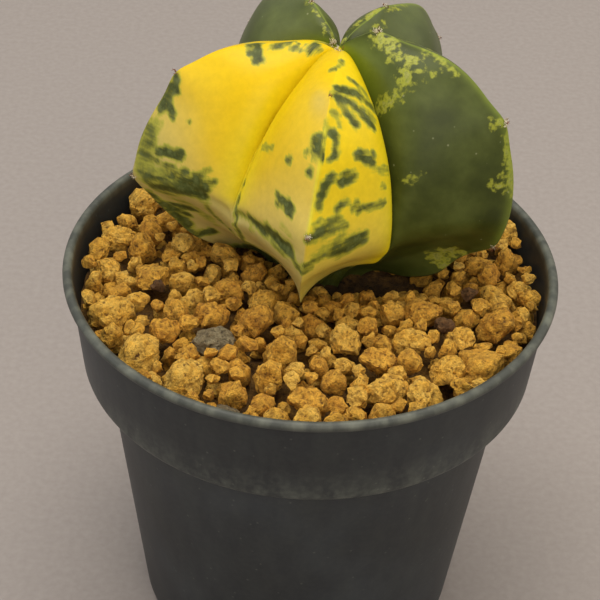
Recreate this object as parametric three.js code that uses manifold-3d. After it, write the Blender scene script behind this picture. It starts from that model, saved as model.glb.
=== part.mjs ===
// A five-ribbed, spineless star cactus, grown swollen in the tortoise-shell way, with its nursery pot.
// Units are millimetres, +Z is up, and the origin is the middle of the pot's underside.

import * as THREE from 'three';
import { mergeVertices } from 'three/addons/utils/BufferGeometryUtils.js';
import Module from 'manifold-3d';

const wasm = await Module();
wasm.setup();

const GAP = 0.3;

// The pot: a round nursery pot, 90 mm across the rim
const POT_HEIGHT = 78;
const RIM_RADIUS = 45;
const COLLAR_HEIGHT = 20.8;
const COLLAR_BOTTOM_RADIUS = 42;
const COLLAR_ROUND = 2.4;
const BODY_TOP_RADIUS = 37.7;
const BASE_RADIUS = 31;
const BASE_ROUND = 1.5;
const LIP_RADIUS = 0.9;
const LIP_STANDS_OUT = 1.4;
const WALL = 1.3;
const FLOOR_CHAMFER = 1;
const INNER_STEP_DROP = 0.4;
const FLOOR = 2;
const POT_SEGMENTS = 48;
const DRAIN_COUNT = 6;
const DRAIN_RADIUS = 3.5;
const DRAIN_CIRCLE = 20;
const DRAIN_SEGMENTS = 12;

// The filling: a dark mix, and a dressing of loose clay granules on it
const DRESSING_LEVEL = POT_HEIGHT - 4.5;
const MIX_TOP = DRESSING_LEVEL - 8.7;
const DRESSING_SLAB_TOP = DRESSING_LEVEL - 4.9;
const SLAB_HOLE_RADIUS = 10.2;
const FILL_SEGMENTS = 40;
const ROOT_HOLE_DEPTH = 36;

// The plant stands a little behind the pot's middle, and leans
const PLANT_LEVEL = POT_HEIGHT - 5;
const PLANT_X = 1;
const PLANT_Y = 13;
const LEAN = THREE.MathUtils.degToRad(5);
const LEAN_TOWARDS = THREE.MathUtils.degToRad(50);

// Each rib's heading and size, the heading of the groove that follows it, and its woolly pads down the ridge.
// The ridge sways sideways, and bulges at places down it; folds and shoulders are those of its two flanks.
const RIBS = [
  {
    heading: -173, size: 0.97, grooveAfter: -137, pads: [0.37, 0.61], sway: 0, folds: [1, 0.6],
    bulges: [[0.17, -2], [0.37, -0.4], [0.54, 0.7]], shoulders: [1, 1],
  },
  {
    heading: -97, size: 0.96, grooveAfter: -57.5, pads: [0.255, 0.51], sway: 1.1, folds: [1, 0],
    bulges: [[0.72, -1.6]], shoulders: [0.8, 1.1],
  },
  {
    heading: -22, size: 1.01, grooveAfter: 14, pads: [0.112, 0.39, 0.66], sway: -0.3, folds: [0, 1],
    bulges: [[0.28, 1.4], [0.45, 1.2], [0.72, -1.4]], shoulders: [1, 1],
  },
  {
    heading: 50, size: 0.98, grooveAfter: 85.5, pads: [0.175, 0.4, 0.65], sway: 0.5, folds: [0.8, 1],
    bulges: [[0.28, 2.3]], shoulders: [1, 1],
  },
  {
    heading: 119.5, size: 0.99, grooveAfter: 154, pads: [0.15, 0.42, 0.65], sway: 0.9, folds: [1, 0.7],
    bulges: [[0.3, 1.2], [0.45, -0.8]], shoulders: [0.6, 1],
  },
];

// The ridge and the groove bottom, each from the crown to the neck, as distance from the axis and height
const RIDGE = new THREE.SplineCurve([
  [0.6, 41], [3.2, 43.2], [8, 44.4], [14, 44], [20, 42.2], [25.4, 39], [29.4, 34.8], [32.2, 29.4],
  [34.2, 23.4], [35.2, 17.6], [34.6, 12.6], [31.8, 8.2], [27.9, 4.2], [24, 0.6], [18.5, -1.6],
  [12, -2.4], [8.6, -5.5],
].map(([r, z]) => new THREE.Vector2(r, z)));
const GROOVE = new THREE.SplineCurve([
  [0.4, 40.8], [1.6, 40.2], [4, 38.6], [7, 36.2], [10.2, 33.4], [13.2, 30.6], [15.8, 27.6], [17.9, 24.6],
  [19.6, 20.9], [21.3, 16.4], [22.3, 12.2], [21.1, 9.4], [19.3, 7], [16.4, 4.9], [13, 2.4],
  [10.2, -1], [8.2, -5.5],
].map(([r, z]) => new THREE.Vector2(r, z)));

// How a flank swells between groove and ridge
const SLIT_HALF_ANGLE = 0.6;
const SHOULDER = 0.66;
const FULLNESS = 1.8;
const RIDGE_SHAPE = 1.5;
const CREST_REACH = 0.38;
const CREST_ANGLE = 52;
const KEEL_ANGLE = 13;
const PINCH_START = 0.56;
const KEEL_START = 0.66;
const KEEL_SPAN = 0.14;
const KEEL_SHAPE = 3;
const BULGE_LENGTH = 0.09;
const SWAY_END = 0.75;
const SWAY_OF_FLANK = 0.6;
const FLANK_STEPS = [0, 0.12, 0.3, 0.55, 0.8, 1];
const SKIN_ROWS = 30;

// The low crease that runs from the groove down to the foot of each rib
const FOLD_AT = 0.55;
const FOLD_SLOPE = 0.065;
const FOLD_SPAN = 0.028;
const FOLD_DEPTH = 0.7;
const FOLD_LEAST_RADIUS = 10;
const FOLD_FROM_RIDGE = 0.12;
const FOLD_FROM_GROOVE = 0.3;

// Woolly pads on the ridge, where the ridge line also bends
const PAD_RADIUS = 0.9;
const PAD_SINK = 0.25;
const KINK_LENGTH = 0.035;
const KINK_WIDTH = 0.2;
const KINK_HEIGHT = 1;
const RIB_MIDDLE = new THREE.Vector2(12, 16);
const CROWN_WOOL_COUNT = 6;
const CROWN_WOOL_CIRCLE = 1.6;
const CROWN_WOOL_RADIUS = 1.3;
const CROWN_HEIGHT = 41.2;

// The tap root, as radius and height below the dressing
const ROOT_RINGS = [[7.8, -8.5], [6.4, -16], [4.2, -25]];
const ROOT_TIP = -33;

// The granules
const GRANULE_COUNT = 210;
const GRANULE_RADIUS_MIN = 2.3;
const GRANULE_RADIUS_MAX = 4.2;
const GRANULE_PLANT_GAP = 0.6;
const GRANULE_ROUGHNESS = 0.17;
const GRANULE_WIDTH_MIN = 0.8;
const GRANULE_SQUASH_MIN = 0.72;
const GRANULE_VARIETY = 0.2;
const GRANULE_TIP = 0.8;
const GRANULE_SCATTER = 1.5;
const GRANULE_TURN_SCATTER = 0.1;
const GRANULE_LIFT_MIN = 0.15;
const GRANULE_LIFT_SPAN = 0.4;
const GOLDEN_ANGLE = Math.PI * (3 - Math.sqrt(5));

function seededRandom(seed) {
  let state = seed;
  return () => {
    state = (state + 0x6d2b79f5) | 0;
    let mixed = Math.imul(state ^ (state >>> 15), 1 | state);
    mixed = (mixed + Math.imul(mixed ^ (mixed >>> 7), 61 | mixed)) ^ mixed;
    return ((mixed ^ (mixed >>> 14)) >>> 0) / 4294967296;
  };
}

function toSolid(geometry) {
  const plain = geometry.clone();
  plain.deleteAttribute('normal');
  plain.deleteAttribute('uv');
  const merged = mergeVertices(plain, 1e-5);
  return new wasm.Manifold(new wasm.Mesh({
    numProp: 3,
    vertProperties: new Float32Array(merged.attributes.position.array),
    triVerts: new Uint32Array(merged.index.array),
  }));
}

function toGeometry(solid) {
  const mesh = solid.getMesh();
  const geometry = new THREE.BufferGeometry();
  geometry.setAttribute('position', new THREE.BufferAttribute(new Float32Array(mesh.vertProperties), 3));
  geometry.setIndex(new THREE.BufferAttribute(new Uint32Array(mesh.triVerts), 1));
  geometry.computeVertexNormals();
  return geometry;
}

function turned(profile, segments) {
  const points = profile.map(([r, z]) => new THREE.Vector2(r, z));
  const geometry = new THREE.LatheGeometry(points, segments);
  geometry.rotateX(Math.PI / 2);
  return geometry;
}

function arc(centreR, centreZ, radius, fromDegrees, toDegrees, steps) {
  const points = [];
  for (let i = 0; i <= steps; i += 1) {
    const angle = THREE.MathUtils.degToRad(fromDegrees + ((toDegrees - fromDegrees) * i) / steps);
    points.push([centreR + radius * Math.cos(angle), centreZ + radius * Math.sin(angle)]);
  }
  return points;
}

// The inside of the pot's wall at a height
function wallInside(z) {
  const collarBottom = POT_HEIGHT - COLLAR_HEIGHT;
  if (z >= collarBottom + WALL) {
    const share = (z - collarBottom) / COLLAR_HEIGHT;
    return COLLAR_BOTTOM_RADIUS + (RIM_RADIUS - LIP_RADIUS - COLLAR_BOTTOM_RADIUS) * share - WALL;
  }
  const share = Math.min(z / collarBottom, 1);
  return BASE_RADIUS + (BODY_TOP_RADIUS - BASE_RADIUS) * share - WALL;
}

function makePot() {
  const collarBottom = POT_HEIGHT - COLLAR_HEIGHT;
  const step = collarBottom + WALL;
  const lipZ = POT_HEIGHT - LIP_RADIUS;
  const profile = [
    [0, 0],
    ...arc(BASE_RADIUS - BASE_ROUND, BASE_ROUND, BASE_ROUND, -90, -6, 2),
    [BODY_TOP_RADIUS, collarBottom],
    ...arc(COLLAR_BOTTOM_RADIUS - COLLAR_ROUND, collarBottom + COLLAR_ROUND, COLLAR_ROUND, -90, -10, 3),
    [RIM_RADIUS - LIP_STANDS_OUT, lipZ - 1.2 * LIP_RADIUS],
    ...arc(RIM_RADIUS - LIP_RADIUS, lipZ, LIP_RADIUS, -60, 180, 5),
    [wallInside(step), step],
    [BODY_TOP_RADIUS - WALL, step - INNER_STEP_DROP],
    [wallInside(FLOOR + FLOOR_CHAMFER), FLOOR + FLOOR_CHAMFER],
    [wallInside(FLOOR) - FLOOR_CHAMFER, FLOOR],
    [0, FLOOR],
  ];
  let pot = toSolid(turned(profile, POT_SEGMENTS));
  for (let i = 0; i < DRAIN_COUNT; i += 1) {
    const angle = (2 * Math.PI * i) / DRAIN_COUNT;
    const hole = new THREE.CylinderGeometry(DRAIN_RADIUS, DRAIN_RADIUS, 4 * FLOOR, DRAIN_SEGMENTS);
    hole.rotateX(Math.PI / 2);
    hole.translate(DRAIN_CIRCLE * Math.cos(angle), DRAIN_CIRCLE * Math.sin(angle), 0);
    pot = pot.subtract(toSolid(hole));
  }
  return pot;
}

// From the plant's own upright frame, with its foot at the dressing's level, to the part's frame
function stand(x, y, z) {
  const ux = Math.cos(LEAN_TOWARDS);
  const uy = Math.sin(LEAN_TOWARDS);
  const along = x * ux + y * uy;
  const leaned = along * Math.cos(LEAN) + z * Math.sin(LEAN);
  const height = z * Math.cos(LEAN) - along * Math.sin(LEAN);
  return new THREE.Vector3(
    x + (leaned - along) * ux + PLANT_X,
    y + (leaned - along) * uy + PLANT_Y,
    height + PLANT_LEVEL,
  );
}

// The angle from a rib's ridge to the groove on one side of it, in degrees
function halfAngle(index, side) {
  const rib = RIBS[index];
  if (side > 0) {
    return rib.grooveAfter - rib.heading;
  }
  const before = index === 0 ? RIBS[RIBS.length - 1].grooveAfter - 360 : RIBS[index - 1].grooveAfter;
  return rib.heading - before;
}

function smooth(value) {
  const share = THREE.MathUtils.clamp(value, 0, 1);
  return share * share * (3 - 2 * share);
}

// A point of the ridge line in the rib's own plane, with its bends at the pads and its bulges
function ridgePoint(rib, t, closeness) {
  const point = RIDGE.getPoint(t);
  const outward = point.clone().sub(RIB_MIDDLE).normalize();
  let push = 0;
  for (const pad of rib.pads) {
    push += KINK_HEIGHT * closeness * Math.exp(-(((t - pad) / KINK_LENGTH) ** 2));
  }
  for (const [place, swell] of rib.bulges) {
    push += swell * Math.exp(-(((t - place) / BULGE_LENGTH) ** 2));
  }
  point.addScaledVector(outward, push);
  return point.multiplyScalar(rib.size);
}

// A point of the skin: t runs from crown to neck, and side from -1 over the ridge at 0 to 1
function skinPoint(index, t, side) {
  const rib = RIBS[index];
  const flank = side > 0 ? 1 : 0;
  const inward = 1 - Math.abs(side);
  const outward = Math.abs(side);
  const ridge = ridgePoint(rib, t, Math.exp(-((side / KINK_WIDTH) ** 2)));
  const groove = GROOVE.getPoint(t);
  const keel = smooth((t - KEEL_START) / KEEL_SPAN);
  const slit = THREE.MathUtils.degToRad(halfAngle(index, side) - SLIT_HALF_ANGLE);
  const shoulder = Math.max(SHOULDER * rib.shoulders[flank] * ridge.x, groove.x);
  const pinch = smooth((t - PINCH_START) / KEEL_SPAN);
  const crest = THREE.MathUtils.degToRad(CREST_ANGLE + (KEEL_ANGLE - CREST_ANGLE) * pinch);
  const reach = CREST_REACH * ridge.x;
  const pulls = [outward ** 3, 3 * FULLNESS * inward * outward ** 2, 3 * inward ** 2 * outward, inward ** 3];
  const pull = pulls[0] + pulls[1] + pulls[2] + pulls[3];
  const weights = pulls.map((part) => part / pull);
  const along = weights[0] * groove.x * Math.cos(slit) + weights[1] * shoulder * Math.cos(slit)
    + weights[2] * (ridge.x - reach * Math.cos(crest)) + weights[3] * ridge.x;
  const across = weights[0] * groove.x * Math.sin(slit) + weights[1] * shoulder * Math.sin(slit)
    + weights[2] * reach * Math.sin(crest);
  const rise = (1 - keel) * (1 - outward ** RIDGE_SHAPE) + keel * inward ** KEEL_SHAPE;
  const height = groove.y * (1 - rise) + ridge.y * rise;
  const fade = smooth(outward / FOLD_FROM_RIDGE) * smooth(inward / FOLD_FROM_GROOVE);
  const crease = Math.exp(-(((t - FOLD_AT - FOLD_SLOPE * outward) / FOLD_SPAN) ** 2));
  const folded = 1 - (rib.folds[flank] * FOLD_DEPTH * fade * crease) / Math.max(along, FOLD_LEAST_RADIUS);
  const swing = Math.sin(Math.PI * THREE.MathUtils.clamp(t / SWAY_END, 0, 1));
  const sway = rib.sway * swing * (weights[3] + SWAY_OF_FLANK * weights[2]);
  const heading = THREE.MathUtils.degToRad(rib.heading);
  const x = along * folded;
  const y = across * folded * Math.sign(side) + sway;
  return stand(
    x * Math.cos(heading) - y * Math.sin(heading),
    x * Math.sin(heading) + y * Math.cos(heading),
    height,
  );
}

// A closed skin over rows of points, with one point at each end
function closedSkin(top, rows, bottom) {
  const columns = rows[0].length;
  const points = [top, ...rows.flat(), bottom];
  const last = points.length - 1;
  const faces = [];
  for (let j = 0; j < columns; j += 1) {
    const next = (j + 1) % columns;
    faces.push(0, 1 + j, 1 + next);
    for (let i = 0; i < rows.length - 1; i += 1) {
      const a = 1 + i * columns;
      const b = a + columns;
      faces.push(a + j, b + j, b + next, a + j, b + next, a + next);
    }
    const foot = 1 + (rows.length - 1) * columns;
    faces.push(last, foot + next, foot + j);
  }
  const geometry = new THREE.BufferGeometry().setFromPoints(points);
  geometry.setIndex(faces);
  return geometry;
}

function skinColumns() {
  const rising = FLANK_STEPS.map((step) => step - 1);
  const falling = FLANK_STEPS.slice(0, -1).reverse().map((step) => 1 - step);
  const sides = [...rising, ...falling];
  return RIBS.flatMap((_, index) => sides.map((side) => ({ index, side })));
}

function woolPad(centre, radius) {
  const pad = new THREE.IcosahedronGeometry(radius, 0);
  pad.translate(centre.x, centre.y, centre.z);
  return toSolid(pad);
}

function makeCactus() {
  const columns = skinColumns();
  const rows = [];
  for (let i = 1; i <= SKIN_ROWS; i += 1) {
    rows.push(columns.map(({ index, side }) => skinPoint(index, i / SKIN_ROWS, side)));
  }
  for (const [radius, z] of ROOT_RINGS) {
    rows.push(columns.map(({ index, side }) => {
      const across = side * (halfAngle(index, side) - SLIT_HALF_ANGLE);
      const turn = THREE.MathUtils.degToRad(RIBS[index].heading + across);
      return stand(radius * Math.cos(turn), radius * Math.sin(turn), z);
    }));
  }
  let cactus = toSolid(closedSkin(stand(0, 0, CROWN_HEIGHT - 1), rows, stand(0, 0, ROOT_TIP)));
  RIBS.forEach((rib, index) => {
    for (const t of rib.pads) {
      const onSkin = skinPoint(index, t, 0);
      const within = skinPoint(index, t, 0).sub(stand(0, 0, RIB_MIDDLE.y)).normalize();
      cactus = cactus.add(woolPad(onSkin.addScaledVector(within, -PAD_SINK), PAD_RADIUS));
    }
  });
  for (let i = 0; i < CROWN_WOOL_COUNT; i += 1) {
    const angle = (2 * Math.PI * i) / CROWN_WOOL_COUNT;
    const x = CROWN_WOOL_CIRCLE * Math.cos(angle);
    const y = CROWN_WOOL_CIRCLE * Math.sin(angle);
    cactus = cactus.add(woolPad(stand(x, y, CROWN_HEIGHT), CROWN_WOOL_RADIUS));
  }
  return cactus;
}

function makeMix() {
  const floor = FLOOR + GAP;
  const step = POT_HEIGHT - COLLAR_HEIGHT + WALL;
  const profile = [
    [0, floor],
    [wallInside(FLOOR) - FLOOR_CHAMFER - GAP, floor],
    [wallInside(FLOOR + FLOOR_CHAMFER) - GAP, FLOOR + FLOOR_CHAMFER + GAP],
    [BODY_TOP_RADIUS - WALL - GAP, step - INNER_STEP_DROP],
    [BODY_TOP_RADIUS - WALL - GAP, step + GAP],
    [wallInside(step + GAP) - GAP, step + GAP],
    [wallInside(MIX_TOP) - GAP, MIX_TOP],
    [0, MIX_TOP],
  ];
  const [neckRadius, neckZ] = ROOT_RINGS[0];
  const holeRadius = neckRadius + GAP;
  const hole = new THREE.CylinderGeometry(holeRadius, holeRadius, 2 * ROOT_HOLE_DEPTH, FILL_SEGMENTS);
  hole.rotateX(Math.PI / 2);
  hole.rotateZ(-LEAN_TOWARDS);
  hole.rotateY(LEAN);
  hole.rotateZ(LEAN_TOWARDS);
  const middle = stand(0, 0, neckZ);
  hole.translate(middle.x, middle.y, middle.z);
  return toSolid(turned(profile, FILL_SEGMENTS)).subtract(toSolid(hole));
}

function makeSlab() {
  const bottom = MIX_TOP + GAP;
  const slab = toSolid(turned([
    [0, bottom],
    [wallInside(bottom) - GAP, bottom],
    [wallInside(DRESSING_SLAB_TOP) - GAP, DRESSING_SLAB_TOP],
    [0, DRESSING_SLAB_TOP],
  ], FILL_SEGMENTS));
  const hole = new THREE.CylinderGeometry(SLAB_HOLE_RADIUS, SLAB_HOLE_RADIUS, POT_HEIGHT, FILL_SEGMENTS);
  hole.rotateX(Math.PI / 2);
  hole.translate(PLANT_X, PLANT_Y, DRESSING_LEVEL);
  return slab.subtract(toSolid(hole));
}

function granule(centre, radius, random) {
  const rough = mergeVertices(bareIcosahedron(), 1e-4);
  const position = rough.attributes.position;
  const width = GRANULE_WIDTH_MIN + GRANULE_VARIETY * random();
  const thickness = GRANULE_SQUASH_MIN + GRANULE_VARIETY * random();
  const turn = new THREE.Euler(random() * GRANULE_TIP, random() * GRANULE_TIP, random() * Math.PI * 2);
  for (let i = 0; i < position.count; i += 1) {
    const point = new THREE.Vector3().fromBufferAttribute(position, i);
    point.multiplyScalar(radius * (1 - GRANULE_ROUGHNESS * random()));
    point.set(point.x, point.y * width, point.z * thickness);
    point.applyEuler(turn).add(centre);
    position.setXYZ(i, point.x, point.y, point.z);
  }
  return toSolid(rough);
}

function bareIcosahedron() {
  const geometry = new THREE.IcosahedronGeometry(1, 0);
  geometry.deleteAttribute('normal');
  geometry.deleteAttribute('uv');
  return geometry;
}

function nearestSkin(centre, skin) {
  let nearest = Infinity;
  for (let i = 0; i < skin.length; i += 3) {
    const away = Math.hypot(skin[i] - centre.x, skin[i + 1] - centre.y, skin[i + 2] - centre.z);
    nearest = Math.min(nearest, away);
  }
  return nearest;
}

function makeDressing(cactus) {
  const random = seededRandom(20);
  const skin = cactus.getMesh().vertProperties;
  const outer = wallInside(DRESSING_LEVEL) - GAP;
  const pieces = [makeSlab()];
  for (let i = 0; i < GRANULE_COUNT; i += 1) {
    const size = random();
    const radius = GRANULE_RADIUS_MIN + (GRANULE_RADIUS_MAX - GRANULE_RADIUS_MIN) * size * size;
    const spread = Math.sqrt((i + 0.5) / GRANULE_COUNT);
    const distance = Math.min(outer * spread + (random() - 0.5) * GRANULE_SCATTER, outer - radius);
    const angle = i * GOLDEN_ANGLE + (random() - 0.5) * GRANULE_TURN_SCATTER;
    const z = DRESSING_SLAB_TOP + radius * (GRANULE_LIFT_MIN + GRANULE_LIFT_SPAN * random());
    const centre = new THREE.Vector3(distance * Math.cos(angle), distance * Math.sin(angle), z);
    const shaped = granule(centre, radius, random);
    const fromPlant = Math.hypot(centre.x - PLANT_X, centre.y - PLANT_Y);
    if (fromPlant > SLAB_HOLE_RADIUS && nearestSkin(centre, skin) > radius + GRANULE_PLANT_GAP) {
      pieces.push(shaped);
    }
  }
  return wasm.Manifold.union(pieces);
}

function node(name, solid, colour, roughness) {
  const material = new THREE.MeshStandardMaterial({ color: colour, roughness, metalness: 0 });
  const mesh = new THREE.Mesh(toGeometry(solid), material);
  mesh.name = name;
  return mesh;
}

const cactusSolid = makeCactus();
const plantInPot = new THREE.Group();
plantInPot.add(node('pot', makePot(), 0x2e2e2c, 0.6));
plantInPot.add(node('potting_mix', makeMix(), 0x2a211a, 0.95));
plantInPot.add(node('top_dressing', makeDressing(cactusSolid), 0xc8912e, 0.9));
plantInPot.add(node('cactus', cactusSolid, 0xe8c23a, 0.45));

export default plantInPot;
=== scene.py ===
"""A variegated kikko astrophytum in a black nursery pot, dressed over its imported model.

Lengths are in millimetres and angles in degrees until a mesh is made, which is in metres.
"""

import math
from collections import namedtuple

import bpy
import numpy as np
from mathutils import Matrix, Vector, noise
from mathutils.bvhtree import BVHTree


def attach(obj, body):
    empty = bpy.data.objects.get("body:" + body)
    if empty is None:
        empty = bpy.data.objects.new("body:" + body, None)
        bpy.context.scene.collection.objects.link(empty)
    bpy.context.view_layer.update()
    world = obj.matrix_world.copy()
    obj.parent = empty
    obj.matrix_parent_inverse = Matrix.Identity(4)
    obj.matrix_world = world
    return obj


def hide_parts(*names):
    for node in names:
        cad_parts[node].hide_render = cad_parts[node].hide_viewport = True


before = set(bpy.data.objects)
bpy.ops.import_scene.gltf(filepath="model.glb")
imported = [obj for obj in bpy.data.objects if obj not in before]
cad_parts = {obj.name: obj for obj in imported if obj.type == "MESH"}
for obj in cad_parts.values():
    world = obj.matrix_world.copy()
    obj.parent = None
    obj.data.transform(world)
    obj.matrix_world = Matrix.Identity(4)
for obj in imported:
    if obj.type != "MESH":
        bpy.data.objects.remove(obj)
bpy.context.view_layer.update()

MM = 0.001

# Camera, solved from the pot's rim, collar and sides
CAMERA_AT = (-1.7, -263.4, 274.0)
CAMERA_DOWN = 37.908
CAMERA_ROLL = 2.56
LENS = 108.19
SENSOR = 36
LAMP_AIM = (0, 5, 85)
STUDIO_FLOOR = 4000

# Pot
POT_HEIGHT = 78
RIM_RADIUS = 45
COLLAR_HEIGHT = 20.8
COLLAR_BOTTOM_RADIUS = 42
COLLAR_ROUND = 2.4
BODY_TOP_RADIUS = 37.7
BASE_RADIUS = 31
BASE_ROUND = 1.5
LIP_RADIUS = 0.9
LIP_STANDS_OUT = 1.4
LIP_UNDERSIDE = 1.08
WALL = 1.3
FLOOR = 2
FLOOR_CHAMFER = 1
INNER_STEP = 58.5
POT_STEPS = 160
DRAIN_RADIUS = 3.5
DRAIN_CIRCLE = 20
DRAIN_COUNT = 6

# Plant
PLANT_AT = (1, 13, POT_HEIGHT - 5)
PLANT_TALL = 42
PLANT_MIDDLE = 20
CROWN_TOP = 40.9
LEAN = math.radians(5)
LEAN_TOWARDS = math.radians(50)
# A rib's heading and size, the heading of the groove after it, its areoles along the ridge, its sway to the side in
# mm, how deep it folds before and after the ridge, its bulges as place and mm, its shoulders, and its areoles' wool
Rib = namedtuple("Rib", "heading size groove_after areoles sway folds bulges shoulders wool")
RIBS = (
    Rib(-173, 0.97, -137, (0.37, 0.61), 0, (1, 0.6), ((0.17, -2), (0.37, -0.4), (0.54, 0.7)), (1, 1), (0, 0.7)),
    Rib(-97, 0.96, -57.5, (0.255, 0.51), 1.1, (1, 0), ((0.72, -1.6),), (0.8, 1.1), (0, 1.4)),
    Rib(-22, 1.01, 14, (0.112, 0.39, 0.66), -0.3, (0, 1), ((0.28, 1.4), (0.45, 1.2), (0.72, -1.4)), (1, 1),
        (2.6, 2, 0.8)),
    Rib(50, 0.98, 85.5, (0.175, 0.4, 0.65), 0.5, (0.8, 1), ((0.28, 2.3),), (1, 1), (0.8, 0.5, 0.8)),
    Rib(119.5, 0.99, 154, (0.15, 0.42, 0.65), 0.9, (1, 0.7), ((0.3, 1.2), (0.45, -0.8)), (0.6, 1), (0.8, 0.8, 0.8)),
)
LEFT, FRONT, RIGHT = 0, 1, 2
YELLOW_RIBS = (LEFT, FRONT)
BULGE_LENGTH = 0.09
# Ridge and groove lines from the crown to the neck, as radius and height in the plant's own frame
RIDGE = (
    (0.6, 41), (3.2, 43.2), (8, 44.4), (14, 44), (20, 42.2), (25.4, 39), (29.4, 34.8), (32.2, 29.4), (34.2, 23.4),
    (35.2, 17.6), (34.6, 12.6), (31.8, 8.2), (27.9, 4.2), (24, 0.6), (18.5, -1.6), (12, -2.4), (8.6, -5.5),
)
GROOVE = (
    (0.4, 40.8), (1.6, 40.2), (4, 38.6), (7, 36.2), (10.2, 33.4), (13.2, 30.6), (15.8, 27.6), (17.9, 24.6),
    (19.6, 20.9), (21.3, 16.4), (22.3, 12.2), (21.1, 9.4), (19.3, 7), (16.4, 4.9), (13, 2.4), (10.2, -1), (8.2, -5.5),
)
ROOT_RINGS = ((7.8, -8.5), (6.4, -16), (4.2, -25), (0, -33))
SLIT_HALF_ANGLE = 0.6
SHOULDER = 0.66
FULLNESS = 1.8
RIDGE_SHAPE = 1.5
CREST_REACH = 0.38
CREST_ANGLE = 52
KEEL_ANGLE = 13
PINCH_START = 0.56
KEEL_START = 0.66
KEEL_SPAN = 0.14
KEEL_SHAPE = 3
SWAY_END = 0.75
FOLD_AT = 0.55
FOLD_SLOPE = 0.065
FOLD_SPAN = 0.014
FOLD_DEPTH = 0.7
FOLD_LEAST_RADIUS = 10
KINK_LENGTH = 0.035
KINK_WIDTH = 0.2
KINK_HEIGHT = 1.0
RIB_MIDDLE = (12, 16)
FLANK_STEPS = 57
SKIN_ROWS = 160
ROOT_ROWS = 12
DENT_SIZE = 11
DENT_DEPTH = 0.22
# A small round scar on the left rib, by t and side, with the radius, width and strength of its ring
SCAR_AT = (0.137, 0.11)
SCAR_RADIUS = 0.9
SCAR_WIDTH = 0.22
SCAR_STRENGTH = 0.55
# The skin's streaks: how long and wide a flank is taken to be, and the t at which they run level
SKIN_LENGTH = 86
FLANK_WIDTH = 26
STREAK_WIDTH = 1.5
STREAK_LENGTH = 7
STREAK_LEVEL = 0.45

# Granules
# The wall's radius where the granules lie
WALL_INSIDE = 42.2
BED_LEVEL = 67.4
BED_RADIUS = 42
BED_STEPS = 110
BED_RISE = 1.6
DRESSING_LEVEL = 75
# Sizes are radii: fines, middling grains and a few large, with the odds of each
GRANULE_SIZES = ((1.1, 1.7), (1.7, 2.7), (2.7, 3.8))
GRANULE_ODDS = (0.3, 0.54, 0.16)
GRANULE_TRIES = 2800
GRANULE_CHOICES = 14
LOWEST_CHOICES = 5
NESTING = 0.93
# The granules lie lower in front of the stem, where the bed shows, darkened there with painted shade
HOLLOW_AT = (10, 3.5)
HOLLOW_SIZE = (11, 5)
HOLLOW_DEPTH = 10
SKIN_GAP = 0.25
# What share of its radius keeps a granule from the wall, the bed, the dressing's level and the plant
WALL_SHARE, BED_SHARE, TOP_SHARE, SKIN_SHARE = 0.93, 0.5, 0.45, 1.02
# A granule whose top is deeper than this is hidden, and is left out
SEEN_DEPTH = 5.5
# A grain: its flat breaks and where they cut, its reach, the depth of its knobs, and its length, width and height
BREAKS = 11
BREAK_LEVELS = (0.64, 0.95)
GRAIN_REACH = 1.1
LUMPS, CRUMBS, GRIT = 0.17, 0.34, 0.2
GRAIN_LENGTH = 1.12
GRAIN_WIDTHS = (0.85, 1.08)
GRAIN_HEIGHTS = (0.74, 0.98)
# The large granules that show, and the odd stones and bits of bark among them, by place and radius
LARGE_GRANULES = (
    (-29, -23.1, 4.1), (-20.7, -29.2, 3.9), (-29.3, -0.9, 3.2), (30, -21.7, 4), (6.5, -17.2, 3.1), (20.1, -31.1, 3.5),
    (-6.5, -27.7, 3.2), (-4.6, -21.4, 3.8), (13.4, -30.5, 3.2), (-35.5, -12.5, 3.6), (-25.5, -16.5, 3),
    (-17.5, -11.5, 3.4), (-9.5, -12.8, 3.3), (33.5, -11, 3.4), (26.5, -15.5, 2.8), (24, -24, 3.3), (-31.5, 7.5, 3.4),
    (36.5, 8, 3), (0.5, -34, 3), (12.5, -22.5, 2.9), (-36, 10, 2.9), (18.5, -17, 3), (-12, -33.5, 2.9), (5, -29, 2.7),
    (-33, 22, 3.2), (-18, 36, 3.3), (6, 39, 3), (27, 30, 3.3), (37, 18, 2.8),
)
STONES = ((-16.8, -18.4, 3.2), (-13.3, -38.2, 2.3))
BARK = ((-27.5, -4.5, 1.5), (24.3, -12.2, 1.9), (29, -3, 1.4))

RNG = np.random.default_rng(20)
# Without a seed noise_vector starts from the clock, and the marks' edges would change from run to run
noise.seed_set(20)


def smooth(value):
    """0 to 1 with soft ends."""
    value = np.clip(value, 0, 1)
    return value * value * (3 - 2 * value)


def colour(code):
    """An sRGB hex code as a linear colour."""
    parts = [int(code[k : k + 2], 16) / 255 for k in (0, 2, 4)]
    return tuple(c / 12.92 if c <= 0.04045 else ((c + 0.055) / 1.055) ** 2.4 for c in parts) + (1.0,)


def per(size):
    """A pattern's scale, from the real size in mm of what repeats in it."""
    return 1 / (size * MM)


def feed(node, inputs):
    """Gives a node's inputs their links, hex colours or values."""
    for name, value in inputs.items():
        if isinstance(value, bpy.types.NodeSocket):
            node.id_data.links.new(value, node.inputs[name])
        else:
            node.inputs[name].default_value = colour(value) if isinstance(value, str) else value


def add(tree, kind, inputs=None, stops=(), out=0, **settings):
    """Adds a node with its settings, inputs and ramp stops, and gives its first output or the one named."""
    made = tree.nodes.new("ShaderNode" + kind)
    for name, value in settings.items():
        setattr(made, name, value)
    feed(made, inputs or {})
    for number, (place, value) in enumerate(stops):
        ramp = made.color_ramp.elements
        stop = ramp[number] if number < 2 else ramp.new(place)
        stop.position = place
        stop.color = colour(value) if isinstance(value, str) else (value, value, value, 1)
    return made.outputs[out]


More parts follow.
